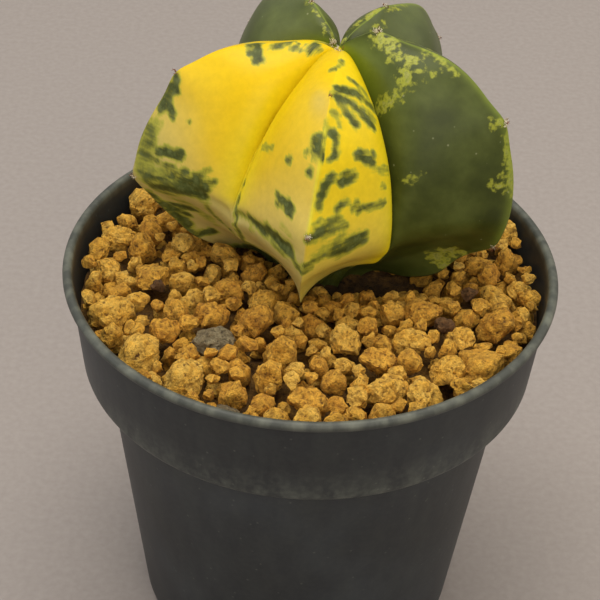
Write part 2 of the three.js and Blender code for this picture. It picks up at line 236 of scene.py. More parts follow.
def start_material(name, roughness, ior=1.5):
    """A named material, its node tree, its shader and the Object coordinates for its patterns."""
    made = bpy.data.materials.new(name)
    made.use_nodes = True
    shader = made.node_tree.nodes["Principled BSDF"]
    feed(shader, {"Roughness": roughness, "IOR": ior})
    return made, made.node_tree, shader, add(made.node_tree, "TexCoord", out="Object")


def place_new(name, data):
    """A new object in the scene."""
    made = bpy.data.objects.new(name, data)
    bpy.context.scene.collection.objects.link(made)
    return made


def read_points(mesh, what="co"):
    """The places of a mesh's vertices, or their normals, a row each."""
    values = np.empty(3 * len(mesh.vertices))
    mesh.vertices.foreach_get(what, values)
    return values.reshape(-1, 3)


def move_points(mesh, points):
    """Moves a mesh's vertices to places in millimetres."""
    mesh.vertices.foreach_set("co", (points * MM).ravel())


def keep_field(mesh, name, values):
    """Keeps a number at each vertex for the material to read."""
    mesh.attributes.new(name, "FLOAT", "POINT").data.foreach_set("value", values)


def select_only(piece):
    """Selects one piece and makes it active."""
    bpy.ops.object.select_all(action="DESELECT")
    piece.select_set(True)
    bpy.context.view_layer.objects.active = piece


def finish_piece(piece, name, surface, node):
    """Names a piece, gives it its material and ties it to the frame."""
    piece.name = name
    piece.data.name = name
    piece.data.materials.clear()
    piece.data.materials.append(surface)
    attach(piece, "root")
    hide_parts(node)


# Materials


def moulded_polypropylene():
    """Black moulded polypropylene: satin, faintly grained, lighter on top of the lip with scuffs and painted light, and
    dustiest at the collar's foot.
    """
    made, tree, shader, place = start_material("moulded_polypropylene", 0.52, 1.49)
    grain = add(tree, "TexNoise", {"Vector": place, "Scale": per(1.1), "Detail": 4})
    cloud = add(tree, "TexNoise", {"Vector": place, "Scale": per(26), "Detail": 5})
    stretch = add(tree, "Mapping", {"Vector": place, "Scale": (1, 1, 0.28)})
    scuff = add(tree, "TexNoise", {"Vector": stretch, "Scale": per(3.2), "Detail": 6})
    specks = add(tree, "TexVoronoi", {"Vector": place, "Scale": per(2.6)})
    speck = add(tree, "ValToRGB", {"Fac": specks}, [(0.04, 1), (0.11, 0)])
    height = add(tree, "SeparateXYZ", {"Vector": place}, out="Z")
    # Top of the lip: a lighter grey, partly scuffs and partly painted light from above
    lip = add(tree, "MapRange", {"Value": height, "From Min": 76.1 * MM, "From Max": 77.5 * MM})
    base = add(tree, "ValToRGB", {"Fac": cloud}, [(0.3, "191D20"), (0.55, "22272B"), (0.75, "2F353A")])
    worn_and_lit = add(tree, "ValToRGB", {"Fac": scuff}, [(0.42, "42453F"), (0.7, "6B6E62")])
    edge = add(tree, "MixRGB", {"Fac": lip, "Color1": base, "Color2": worn_and_lit})
    # Dust by height: thick where the collar turns in at its foot, and thin on the wall above
    collar = add(tree, "MapRange", {"Value": height, "From Min": 54 * MM, "From Max": 78 * MM})
    settled = add(tree, "ValToRGB", {"Fac": collar}, [(0.13, 0.1), (0.18, 0.7), (0.28, 0.4), (0.5, 0.1)])
    smears = add(tree, "MapRange", {"Value": scuff, "From Min": 0.4, "From Max": 0.68, "To Max": 0.5})
    film = add(tree, "MapRange", {
        "Value": grain, "From Min": 0.42, "From Max": 0.66, "To Min": 0.12, "To Max": 0.45,
    })
    dust = add(tree, "Math", {0: smears, 1: film}, operation="ADD")
    settling = add(tree, "Math", {0: dust, 1: settled}, operation="MULTIPLY")
    dust_mask = add(tree, "Math", {0: speck, 1: 0.28, 2: settling}, operation="MULTIPLY_ADD", use_clamp=True)
    dusty = add(tree, "MixRGB", {"Fac": dust_mask, "Color1": edge, "Color2": "6F746A"})
    bump = add(tree, "Bump", {"Height": grain, "Strength": 0.25, "Distance": 0.06 * MM})
    feed(shader, {"Base Color": dusty, "Normal": bump})
    return made


def peat_and_pumice():
    """Dark potting mix: peat fibres with pale pumice grains, crumbly and matt."""
    made, tree, shader, place = start_material("peat_and_pumice", 0.95)
    crumbs = add(tree, "TexNoise", {"Vector": place, "Scale": per(1.6), "Detail": 8})
    grains = add(tree, "TexVoronoi", {"Vector": place, "Scale": per(3.5)})
    peat = add(tree, "ValToRGB", {"Fac": crumbs}, [(0.35, "1C130B"), (0.7, "4C3620")])
    pumice = add(tree, "ValToRGB", {"Fac": grains}, [(0.12, 1), (0.2, 0)])
    mixed = add(tree, "MixRGB", {"Fac": pumice, "Color1": peat, "Color2": "8E7C62"})
    bump = add(tree, "Bump", {"Height": crumbs, "Strength": 0.9, "Distance": 0.8 * MM})
    feed(shader, {"Base Color": mixed, "Normal": bump})
    return made


def fired_clay(name, dark, middle, light, pit_shade):
    """Low-fired granular clay: matt and porous, its colour varied from grain to grain, with painted shade in its pits
    and where the hollow field is high, and its grit painted lighter where it stands up.
    """
    made, tree, shader, place = start_material(name, 0.95, 1.45)
    tint = add(tree, "Attribute", out="Fac", attribute_name="tint")
    hollow = add(tree, "Attribute", out="Fac", attribute_name="hollow")
    blotch, grit, pits = (
        add(tree, "TexNoise", {"Vector": place, "Scale": per(size), "Detail": detail, "Roughness": roughness})
        for size, detail, roughness in ((2, 7, 0.65), (0.4, 4, 0.7), (0.8, 3, 0.6))
    )
    shade = add(tree, "Math", {0: tint, 1: 0.38, 2: blotch}, operation="MULTIPLY_ADD")
    clay = add(tree, "ValToRGB", {"Fac": shade}, [(0.4, dark), (0.7, middle), (1, light)])
    # Painted shade: darker in the low spots of the pits and where the hollow field is high
    pit_depth = add(tree, "MapRange", {"Value": pits, "From Min": 0.44, "From Max": 0.32, "To Max": 0.5})
    pit_and_hollow_shade = add(tree, "Math", {0: hollow, 1: 0.62, 2: pit_depth}, operation="MULTIPLY_ADD", use_clamp=True)
    pitted = add(tree, "MixRGB", {"Fac": pit_and_hollow_shade, "Color1": clay, "Color2": pit_shade})
    # Painted shade and light on the grit: lighter where it stands up in the bump, darker where it sinks
    grit_shading = add(tree, "MapRange", {
        "Value": grit, "From Min": 0.35, "From Max": 0.62, "To Min": 0.8, "To Max": 1.22,
    })
    final = add(tree, "VectorMath", {0: pitted, "Scale": grit_shading}, operation="SCALE")
    relief = add(tree, "Math", {0: grit, 1: pits}, operation="ADD")
    bump = add(tree, "Bump", {"Height": relief, "Strength": 1, "Distance": 0.45 * MM})
    feed(shader, {"Base Color": final, "Normal": bump})
    return made


def waxy_skin():
    """Waxy cactus skin without spines: yellow where it lacks chlorophyll, with soft green marks that streak."""
    made, tree, shader, place = start_material("waxy_skin", 0.42, 1.4)
    green, pale, line, lime, lemon = (
        add(tree, "Attribute", out="Fac", attribute_name=name) for name in ("green", "pale", "line", "lime", "lemon")
    )
    streaks = add(tree, "Attribute", out="Vector", attribute_name="streaks")
    long_noise = add(tree, "TexNoise", {"Vector": streaks, "Scale": 1, "Detail": 2})
    soft_noise, fine_noise, wide_noise, vein_noise = (
        add(tree, "TexNoise", {"Vector": place, "Scale": per(size), "Detail": detail, "Roughness": roughness})
        for size, detail, roughness in ((1.4, 4, 0.6), (0.5, 2, 0.6), (9, 4, 0.5), (1.4, 2.5, 0.55))
    )
    streaky, blotchy, marbling = (
        add(tree, "MapRange", {"Value": source, "From Min": 0.3, "From Max": 0.7, "To Min": -depth, "To Max": depth})
        for source, depth in ((long_noise, 0.26), (soft_noise, 0.2), (vein_noise, 0.4))
    )
    veins = add(tree, "Math", {0: marbling, 1: lime}, operation="MULTIPLY")
    uneven = add(tree, "Math", {0: streaky, 1: blotchy}, operation="ADD")
    ragged = add(tree, "Math", {0: uneven, 1: veins}, operation="ADD")
    # The noise only breaks up what pigment there is, so that clear flesh stays clear
    near = add(tree, "MapRange", {"Value": green, "From Min": 0.02, "From Max": 0.3})
    edge = add(tree, "MapRange", {"Value": green, "From Min": 1.33, "From Max": 1})
    broken = add(tree, "MixRGB", {"Fac": lime, "Color1": near, "Color2": edge})
    amount = add(tree, "Math", {0: broken, 1: ragged, 2: green}, operation="MULTIPLY_ADD")
    # Flesh colour from bright yellow to pale and olive, or lime on the green ribs
    yellow = add(tree, "ValToRGB", {"Fac": pale}, [
        (0, "EAC400"), (0.3, "E8C52A"), (0.6, "DCC259"), (0.8, "D2BF68"), (1, "C4B468"),
    ])
    sunny = add(tree, "MixRGB", {"Fac": lemon, "Color1": yellow, "Color2": "EDDB1E"})
    lime_flesh = add(tree, "ValToRGB", {"Fac": fine_noise}, [(0.35, "828D38"), (0.65, "A9A95C")])
    flesh = add(tree, "MixRGB", {"Fac": lime, "Color1": sunny, "Color2": lime_flesh})
    # Pigment through the yellow-green of a mark's soft edge; on the green ribs pale greys it high up as painted sheen
    mark = add(tree, "ValToRGB", {"Fac": soft_noise}, [(0.35, "2F3A17"), (0.5, "434E24"), (0.66, "5E683A")])
    olive = add(tree, "ValToRGB", {"Fac": wide_noise}, [(0.38, "2A3411"), (0.5, "3A4419"), (0.64, "4E5828")])
    sheened_olive = add(tree, "MixRGB", {"Fac": pale, "Color1": olive, "Color2": "8A9670"})
    fresh = add(tree, "MixRGB", {"Fac": lemon, "Color1": sheened_olive, "Color2": "74871E"})
    pigment = add(tree, "MixRGB", {"Fac": lime, "Color1": mark, "Color2": fresh})
    rim, core = (
        add(tree, "MapRange", {"Value": amount, "From Min": low, "From Max": high, "To Max": depth},
            interpolation_type="SMOOTHSTEP")
        for low, high, depth in ((0.03, 0.42, 0.8), (0.26, 0.95, 0.95))
    )
    edged = add(tree, "MixRGB", {"Fac": rim, "Color1": flesh, "Color2": "A9AC36"})
    marked = add(tree, "MixRGB", {"Fac": core, "Color1": edged, "Color2": pigment})
    keel = add(tree, "MixRGB", {"Fac": lime, "Color1": "D8D63C", "Color2": "8C9C3C"})
    lined = add(tree, "MixRGB", {"Fac": line, "Color1": marked, "Color2": keel})
    # White flecks of wax, a few to the square centimetre, on the green ribs
    flecks = add(tree, "TexVoronoi", {"Vector": place, "Scale": per(3.2)})
    fleck = add(tree, "ValToRGB", {"Fac": flecks}, [(0.035, 1), (0.075, 0)])
    fleck_share = add(tree, "Math", {0: fleck, 1: lime}, operation="MULTIPLY")
    fleck_faint = add(tree, "Math", {0: fleck_share, 1: 0.35}, operation="MULTIPLY")
    flecked = add(tree, "MixRGB", {"Fac": fleck_faint, "Color1": lined, "Color2": "B9BB94"})
    mottle = add(tree, "MapRange", {
        "Value": soft_noise, "From Min": 0.3, "From Max": 0.7, "To Min": 0.94, "To Max": 1.05,
    })
    skin = add(tree, "VectorMath", {0: flecked, "Scale": mottle}, operation="SCALE")
    bump = add(tree, "Bump", {"Height": fine_noise, "Strength": 0.15, "Distance": 0.08 * MM})
    feed(shader, {
        "Base Color": skin, "Normal": bump, "Specular IOR Level": 0.32,
        "Subsurface Weight": 0.12, "Subsurface Radius": (1, 0.9, 0.4), "Subsurface Scale": 1.2 * MM,
    })
    return made


def dry_wool(name, dark, light):
    """Dry plant wool: matt fibres that vary along their length."""
    made, tree, shader, place = start_material(name, 0.85)
    fibres = add(tree, "TexNoise", {"Vector": place, "Scale": per(0.6), "Detail": 3})
    shade = add(tree, "ValToRGB", {"Fac": fibres}, [(0.35, dark), (0.6, light)])
    feed(shader, {"Base Color": shade})
    return made


def backdrop_paper():
    """Grey-beige backdrop paper, matt, with a faint tooth."""
    made, tree, shader, place = start_material("backdrop_paper", 0.9)
    tooth = add(tree, "TexNoise", {"Vector": place, "Scale": per(1.5), "Detail": 4})
    shade = add(tree, "ValToRGB", {"Fac": tooth}, [(0.3, "9B938E"), (0.7, "A39B96")])
    bump = add(tree, "Bump", {"Height": tooth, "Strength": 0.1, "Distance": 0.05 * MM})
    feed(shader, {"Base Color": shade, "Normal": bump})
    return made


# Camera, light and floor


def place_camera():
    """The camera at the photograph's viewing angle."""
    lens = bpy.data.cameras.new("camera")
    lens.lens = LENS
    lens.sensor_width = SENSOR
    lens.clip_start = 0.01
    camera = place_new("camera", lens)
    tilt = Matrix.Rotation(math.radians(90 - CAMERA_DOWN), 4, "X")
    roll = Matrix.Rotation(math.radians(CAMERA_ROLL), 4, "Z")
    camera.matrix_world = Matrix.Translation(Vector(CAMERA_AT) * MM) @ tilt @ roll
    bpy.context.scene.camera = camera


def place_lamp(name, spot, size, power, tint):
    """A soft square lamp, in millimetres, that faces the plant."""
    lamp = bpy.data.lights.new(name, "AREA")
    lamp.size = size * MM
    lamp.energy = power
    lamp.color = colour(tint)[:3]
    holder = place_new(name, lamp)
    aim = Vector(LAMP_AIM) - Vector(spot)
    holder.matrix_world = Matrix.Translation(Vector(spot) * MM) @ aim.to_track_quat("-Z", "Y").to_matrix().to_4x4()


def light_the_studio():
    """Four soft lamps in a pale, even room."""
    place_lamp("key", (-50, 90, 880), 640, 5.4, "FFFAF2")
    place_lamp("front", (200, -760, 560), 700, 2.9, "FFF6EA")
    place_lamp("left", (-760, -120, 420), 600, 1.2, "F2F5FF")
    place_lamp("right", (760, 160, 460), 600, 1.5, "FFF3E2")
    world = bpy.data.worlds.new("studio")
    bpy.context.scene.world = world
    world.use_nodes = True
    feed(world.node_tree.nodes["Background"], {"Color": "EDE9E4", "Strength": 0.42})
    bpy.context.scene.view_settings.view_transform = "Standard"


def lay_floor():
    """A sheet of backdrop paper under the pot."""
    bpy.ops.mesh.primitive_plane_add(size=STUDIO_FLOOR * MM)
    floor = bpy.context.object
    floor.name = "floor"
    floor.data.materials.append(backdrop_paper())


# Pot


def arc(centre, radius, start, end, steps):
    """Points of an arc in the profile plane."""
    for k in range(steps + 1):
        angle = math.radians(start + (end - start) * k / steps)
        yield (centre[0] + radius * math.cos(angle), centre[1] + radius * math.sin(angle))


def wall_inside(height):
    """The inner wall's radius at a height."""
    if height >= INNER_STEP:
        flare = RIM_RADIUS - LIP_RADIUS - COLLAR_BOTTOM_RADIUS
        return COLLAR_BOTTOM_RADIUS + flare * (height - INNER_STEP + WALL) / COLLAR_HEIGHT - WALL
    return BASE_RADIUS + (BODY_TOP_RADIUS - BASE_RADIUS) * min(height / (POT_HEIGHT - COLLAR_HEIGHT), 1) - WALL


def pot_profile():
    """The half section of the pot, from the middle of its underside round the lip to the middle of its floor."""
    collar = POT_HEIGHT - COLLAR_HEIGHT
    points = [(0, 0)]
    points += arc((BASE_RADIUS - BASE_ROUND, BASE_ROUND), BASE_ROUND, -90, -6, 6)
    points.append((BODY_TOP_RADIUS, collar))
    points += arc((COLLAR_BOTTOM_RADIUS - COLLAR_ROUND, collar + COLLAR_ROUND), COLLAR_ROUND, -90, -10, 10)
    points.append((RIM_RADIUS - LIP_STANDS_OUT, POT_HEIGHT - LIP_RADIUS - LIP_UNDERSIDE))
    points += arc((RIM_RADIUS - LIP_RADIUS, POT_HEIGHT - LIP_RADIUS), LIP_RADIUS, -60, 180, 14)
    points += [(wall_inside(INNER_STEP), INNER_STEP), (BODY_TOP_RADIUS - WALL, INNER_STEP - 0.4)]
    points += [(wall_inside(FLOOR + FLOOR_CHAMFER), FLOOR + FLOOR_CHAMFER), (wall_inside(FLOOR) - FLOOR_CHAMFER, FLOOR)]
    points.append((0, FLOOR))
    return points


def build_pot():
    """The profile spun round the pot's axis, with its drain holes cut."""
    points = pot_profile()
    shell = bpy.data.meshes.new("pot_shell")
    shell.from_pydata([(r * MM, 0, z * MM) for r, z in points], [(k, k + 1) for k in range(len(points) - 1)], [])
    pot = place_new("pot_shell", shell)
    select_only(pot)
    bpy.ops.object.mode_set(mode="EDIT")
    bpy.ops.mesh.select_all(action="SELECT")
    bpy.ops.mesh.spin(steps=POT_STEPS, angle=math.tau, center=(0, 0, 0), axis=(0, 0, 1))
    bpy.ops.mesh.select_all(action="SELECT")
    bpy.ops.mesh.remove_doubles(threshold=0.00001)
    bpy.ops.mesh.normals_make_consistent(inside=False)
    bpy.ops.object.mode_set(mode="OBJECT")
    cutters = []
    for k in range(DRAIN_COUNT):
        turn = math.tau * k / DRAIN_COUNT
        spot = (DRAIN_CIRCLE * MM * math.cos(turn), DRAIN_CIRCLE * MM * math.sin(turn), FLOOR / 2 * MM)
        bpy.ops.mesh.primitive_cylinder_add(vertices=32, radius=DRAIN_RADIUS * MM, depth=3 * FLOOR * MM, location=spot)
        cutters.append(bpy.context.object)
    bpy.ops.object.select_all(action="DESELECT")
    for cutter in cutters:
        cutter.select_set(True)
    bpy.context.view_layer.objects.active = cutters[0]
    bpy.ops.object.join()
    drill = bpy.context.object
    select_only(pot)
    cut = pot.modifiers.new("drain_holes", "BOOLEAN")
    cut.operation = "DIFFERENCE"
    cut.solver = "EXACT"
    cut.object = drill
    bpy.ops.object.modifier_apply(modifier=cut.name)
    bpy.data.objects.remove(drill)
    bpy.ops.object.shade_smooth_by_angle(angle=math.radians(32))
    finish_piece(pot, "nursery_pot", moulded_polypropylene(), "pot")


# Plant


def spline(points, t):
    """A Catmull-Rom curve through the points, at t from 0 to 1."""
    points = np.array(points, float)
    last = len(points) - 1
    along = np.clip(t, 0, 1) * last
    index = np.minimum(along.astype(int), last - 1)
    f = (along - index)[..., None]
    a, b, c, d = (points[np.clip(index + k, 0, last)] for k in (-1, 0, 1, 2))
    return 0.5 * (2 * b + (c - a) * f + (2 * a - 5 * b + 4 * c - d) * f**2 + (3 * b - a - 3 * c + d) * f**3)


def stand(x, y, z):
    """From the plant's own frame to the pot's: leaned, and moved to where the plant grows."""
    ux, uy = math.cos(LEAN_TOWARDS), math.sin(LEAN_TOWARDS)
    along = x * ux + y * uy
    shift = along * math.cos(LEAN) + z * math.sin(LEAN) - along
    height = z * math.cos(LEAN) - along * math.sin(LEAN)
    return np.stack([x + shift * ux + PLANT_AT[0], y + shift * uy + PLANT_AT[1], height + PLANT_AT[2]], -1)


def half_angle(number, side):
    """The angle from a rib's heading to its groove on that side."""
    rib = RIBS[number]
    before = RIBS[number - 1].groove_after - (360 if number == 0 else 0)
    return np.where(side > 0, rib.groove_after - rib.heading, rib.heading - before)


def skin_point(number, t, side):
    """A point of the skin: t runs from the crown to the neck, side from groove to groove with the ridge at 0."""
    rib = RIBS[number]
    out = np.abs(side)
    inward = 1 - out
    ridge = spline(RIDGE, t)
    push = ridge - np.array(RIB_MIDDLE, float)
    push /= np.linalg.norm(push, axis=-1, keepdims=True)
    bump = sum(np.exp(-(((t - pad) / KINK_LENGTH) ** 2)) for pad in rib.areoles)
    swell = sum(high * np.exp(-(((t - at) / BULGE_LENGTH) ** 2)) for at, high in rib.bulges)
    kink = KINK_HEIGHT * bump * np.exp(-((side / KINK_WIDTH) ** 2))
    ridge = (ridge + push * (kink + swell)[..., None]) * rib.size
    groove = spline(GROOVE, t)
    keel = smooth((t - KEEL_START) / KEEL_SPAN)
    slit = np.radians(half_angle(number, side) - SLIT_HALF_ANGLE)
    full = SHOULDER * np.where(side > 0, rib.shoulders[1], rib.shoulders[0])
    shoulder = np.maximum(full * ridge[..., 0], groove[..., 0])
    pinch = smooth((t - PINCH_START) / KEEL_SPAN)
    crest = np.radians(CREST_ANGLE + (KEEL_ANGLE - CREST_ANGLE) * pinch)
    reach = CREST_REACH * ridge[..., 0]
    weights = np.stack((out**3, 3 * FULLNESS * inward * out**2, 3 * inward**2 * out, inward**3))
    weights = weights / weights.sum(0)
    to_slit = weights[0] * groove[..., 0] + weights[1] * shoulder
    along = to_slit * np.cos(slit) + weights[2] * (ridge[..., 0] - reach * np.cos(crest)) + weights[3] * ridge[..., 0]
    across = to_slit * np.sin(slit) + weights[2] * reach * np.sin(crest)
    rise = (1 - keel) * (1 - out**RIDGE_SHAPE) + keel * inward**KEEL_SHAPE
    height = groove[..., 1] * (1 - rise) + ridge[..., 1] * rise
    fold_at = FOLD_AT + FOLD_SLOPE * out
    fold = np.where(side > 0, rib.folds[1], rib.folds[0]) * FOLD_DEPTH
    fold = fold * smooth(out / 0.12) * smooth((1 - out) / 0.3)
    folded = 1 - fold * np.exp(-(((t - fold_at) / FOLD_SPAN) ** 2)) / np.maximum(along, FOLD_LEAST_RADIUS)
    sway = rib.sway * np.sin(np.pi * np.clip(t / SWAY_END, 0, 1)) * (weights[3] + 0.6 * weights[2])
    x, y = along * folded, across * folded * np.sign(side) + sway
    turn = math.radians(rib.heading)
    return stand(x * math.cos(turn) - y * math.sin(turn), x * math.sin(turn) + y * math.cos(turn), height)


# Marks of each rib, green pigment on the two yellow ribs and yellow on the three green ones; on the front rib a few
# also paint the dark line of its fold, part pigment and part shade, and the shade of its lower groove: t and side of
# each end in thousandths, half width in mm, and strength
MARKS = ((
    (376, 20, 401, 60, 1.1, 1), (400, 30, 438, 30, 1.6, 1), (428, 60, 448, 110, 0.9, 1), (441, 50, 451, 40, 0.9, 0.9),
    (473, 50, 541, 30, 1.9, 0.45), (521, 10, 586, 30, 1.3, 0.5), (528, 120, 516, 160, 0.9, 1),
    (518, 160, 508, 250, 1.1, 1), (586, 40, 548, 120, 0.9, 0.7), (598, 60, 538, 210, 0.7, 0.8),
    (606, 70, 538, 300, 0.9, 0.9), (621, 90, 538, 410, 1.1, 0.9), (613, 140, 553, 480, 1.3, 1),
    (601, 210, 581, 430, 1.3, 1), (563, 300, 536, 540, 0.7, 0.8), (538, 380, 516, 460, 0.5, 0.6),
    (593, 100, 586, 150, 1.1, 0.9), (656, 10, 688, 30, 0.9, 0.9), (693, 10, 678, 250, 0.9, 1),
    (705, 50, 715, 120, 1.3, 1), (730, 40, 768, 40, 1.7, 1), (698, 10, 733, 10, 0.9, 0.8), (768, 10, 813, 10, 0.9, 0.9),
    (808, 30, 798, 180, 1.1, 0.9), (578, 390, 601, 450, 0.7, 0.55), (601, 450, 658, 460, 0.7, 0.6),
    (658, 460, 705, 730, 0.7, 0.6), (211, 0, 201, 0, 1.1, 0.95), (206, 40, 244, 260, 0.9, 1),
    (226, 100, 231, 150, 0.7, 0.9), (239, 140, 241, 150, 0.3, 0.6), (176, 100, 164, 60, 1.1, 0.85),
    (164, 60, 139, -10, 0.7, 0.8), (126, 380, 94, 240, 1.1, 0.9), (91, 210, 56, -390, 0.7, 0.7),
    (149, 190, 141, 230, 0.5, 0.7), (443, 210, 443, 210, 0.3, 0.9), (131, -200, 41, -560, 0.5, 0.5),
    (204, -240, 131, -200, 0.5, 0.35), (490, 20, 590, 80, 3.4, 0.66), (620, 120, 700, 350, 2.6, 0.45),
    (253, -145, 267, -355, 1.9, 0.56), (304, -345, 326, -555, 2.2, 0.56), (467, -95, 453, -305, 2.2, 0.59),
    (417, -302, 403, -547, 1.9, 0.5), (546, -153, 524, -398, 2.5, 0.59), (595, -245, 575, -455, 1.5, 0.5),
), (
    (250, 60, 290, 200, 2.2, 0.5), (270, 200, 300, 420, 1.8, 0.45), (520, 50, 500, 160, 1.5, 0.5),
    # Painted shade: on this line and the next, the thin marks near side -0.9 from t 0.56 to 0.74, and the one across at
    # t 0.74, draw the dark line where the left rib meets the front rib
    (560, 50, 530, 180, 1.6, 0.45), (560, -930, 586, -890, 0.4, 0.7), (586, -890, 646, -810, 0.4, 0.8),
    (646, -810, 740, -850, 0.5, 0.8), (740, -850, 733, -270, 0.5, 0.7), (426, -620, 416, -490, 0.5, 0.6),
    (418, -490, 411, -400, 0.5, 0.5), (408, -220, 406, -200, 0.7, 0.9), (401, -60, 403, -50, 0.9, 1),
    (346, -60, 341, -30, 1.4, 1), (336, -30, 330, 0, 0.7, 0.7), (358, -30, 366, 10, 1.4, 1),
    (376, -100, 373, -90, 0.5, 0.6), (358, -60, 361, -60, 0.5, 0.4), (378, -40, 378, -40, 0.3, 0.4),
    (478, -240, 481, -200, 0.7, 0.9), (483, -210, 481, -140, 1.1, 1), (486, -160, 488, -120, 0.9, 1),
    (493, -220, 496, -220, 0.5, 0.6), (521, -970, 526, -950, 0.5, 0.5), (553, -990, 558, -990, 0.5, 0.4),
    # Green pigment and painted shade: from here to the first two marks of the next line, the marks follow the left fold
    # and draw its dark crease line
    (588, -740, 586, -570, 0.5, 0.6), (578, -500, 566, -300, 0.9, 0.95), (568, -320, 558, -190, 1.3, 1),
    (558, -260, 566, -100, 1.8, 1), (563, -100, 586, -30, 0.7, 0.85), (598, -450, 568, -190, 0.5, 0.45),
    (568, -190, 576, -70, 0.5, 0.5), (526, -150, 536, -90, 1.3, 0.3), (299, 0, 324, 40, 0.5, 0.5),
    (179, -40, 164, 30, 0.5, 0.8), (164, 30, 149, 90, 0.5, 0.7), (199, 190, 216, 290, 0.5, 0.7),
    (216, 290, 244, 350, 0.5, 0.6), (226, 390, 251, 460, 0.5, 0.55), (234, 50, 236, 160, 0.9, 0.95),
    (239, 140, 246, 280, 1.1, 0.95), (246, 250, 261, 400, 0.9, 0.95), (259, 360, 274, 610, 0.7, 0.9),
    (254, 60, 269, 150, 0.7, 0.85), (264, 70, 286, 150, 0.9, 0.95), (284, 140, 311, 230, 0.9, 0.95),
    (279, 240, 296, 330, 0.9, 0.9), (296, 330, 319, 440, 0.9, 0.9), (264, 150, 279, 250, 0.5, 0.8),
    (284, 60, 309, 100, 0.5, 0.6), (294, 390, 304, 500, 0.5, 0.6), (324, 60, 343, 90, 0.9, 0.95),
    (346, 90, 371, 90, 0.9, 0.9), (376, 60, 373, 90, 0.5, 0.6), (376, 260, 383, 310, 1.3, 0.95),
    (388, 300, 396, 380, 1.3, 0.95), (383, 390, 391, 400, 0.7, 0.7), (408, 380, 418, 680, 0.7, 0.5),
    (458, 30, 441, 40, 0.7, 0.95), (438, 40, 423, 50, 1.1, 0.95), (421, 50, 411, 90, 0.9, 0.9),
    (418, 140, 411, 180, 0.7, 0.9), (423, 160, 416, 230, 0.9, 0.9), (411, 210, 416, 230, 0.5, 0.6),
    (473, 140, 466, 160, 0.7, 0.85), (466, 160, 461, 190, 0.5, 0.6), (478, 230, 471, 260, 0.5, 0.75),
    (486, 280, 486, 360, 0.7, 0.85), (486, 360, 488, 540, 0.7, 0.8), (473, 250, 471, 260, 0.5, 0.6),
    (516, 10, 503, 50, 0.9, 0.85), (508, 50, 498, 100, 1.1, 0.85), (501, 90, 486, 150, 0.9, 0.8),
    (491, 30, 483, 60, 0.5, 0.5), (555, 150, 556, 230, 2.3, 1), (553, 210, 549, 300, 2.4, 1),
    (541, 120, 538, 160, 0.5, 0.6), (576, 10, 568, 50, 0.7, 0.85), (568, 50, 556, 100, 0.7, 0.8),
    (593, 0, 588, 40, 0.5, 0.75), (563, 70, 553, 110, 0.5, 0.6), (506, 200, 513, 210, 0.5, 0.5),
    (448, 530, 453, 540, 0.5, 0.5),
), (
    (121, -60, 151, -170, 1.7, 0.69), (151, -170, 186, -240, 1.7, 0.69), (146, 50, 189, 150, 0.9, 0.55),
    (181, -210, 216, -270, 1.3, 0.55), (244, -420, 231, -310, 1.3, 0.65), (229, -310, 219, -190, 1.1, 0.62),
    (219, -190, 216, -60, 0.7, 0.62), (266, -790, 274, -560, 1.3, 0.65), (274, -560, 261, -420, 0.9, 0.55),
    (214, -40, 241, -10, 1.1, 0.65), (251, -260, 261, -120, 0.7, 0.48), (244, -60, 269, -50, 0.7, 0.41),
    (274, -400, 279, -270, 0.5, 0.27), (124, -110, 136, -250, 0.7, 0.48), (388, -50, 396, 0, 0.7, 0.74),
    (403, 0, 431, 0, 0.7, 0.7), (431, 0, 463, 0, 1.1, 0.74), (463, -10, 503, 0, 1.3, 0.74),
    (491, -90, 503, -30, 0.9, 0.62), (481, -50, 488, -30, 0.7, 0.55), (458, -720, 456, -620, 0.5, 0.35),
    (456, -620, 451, -520, 0.5, 0.35), (493, -900, 478, -760, 0.3, 0.23), (715, -150, 700, -110, 1.1, 0.8),
    (713, -100, 715, -10, 1.1, 0.85), (745, -120, 768, -40, 1.5, 0.85), (730, -210, 708, -190, 0.5, 0.31),
    (228, 172, 263, 277, 2.2, 0.43), (358, 387, 351, 562, 1.9, 0.38), (517, 148, 503, 372, 2.2, 0.43),
    (597, 223, 583, 328, 1.5, 0.38),
), (
    (41, 230, 94, 210, 0.3, 0.4), (94, 210, 139, 110, 0.4, 0.4), (139, 110, 176, -40, 0.7, 0.7),
    (176, -40, 231, -10, 0.5, 0.5), (134, -340, 169, -240, 0.5, 0.35), (297, 160, 283, 440, 2.2, 0.56),
    (343, 253, 357, 498, 1.9, 0.5), (495, 95, 474, 305, 2.5, 0.59), (538, 130, 532, 270, 1.5, 0.5),
    (447, -203, 433, -448, 1.9, 0.53), (593, -88, 557, -262, 1.9, 0.5),
), (
    (41, 600, 81, 210, 0.3, 0.4), (81, 210, 119, 90, 0.3, 0.4), (119, 90, 159, 30, 0.3, 0.35),
    (253, -195, 267, -405, 2.2, 0.56), (377, -103, 363, -348, 2.5, 0.59), (421, -260, 428, -540, 1.5, 0.5),
    (544, -145, 516, -355, 2.2, 0.56), (449, 387, 442, 562, 1.5, 0.5), (457, 88, 443, 262, 1.9, 0.53),
    (574, 153, 546, 398, 2.2, 0.56),
))
GREEN_DEPTH = 1.35
# How wide a mark's soft edge is in mm, for each rib, beside a share of its half width
MARK_SOFTNESS = (0.85, 0.8, 1.9, 1.6, 1.6)
MARK_EDGE = 0.65
MARK_CORE = 0.2
# How far the marks' edges wander in mm, over waves of these sizes
MARK_WANDER = 0.55
WANDER_SIZES = (1.9, 0.9)


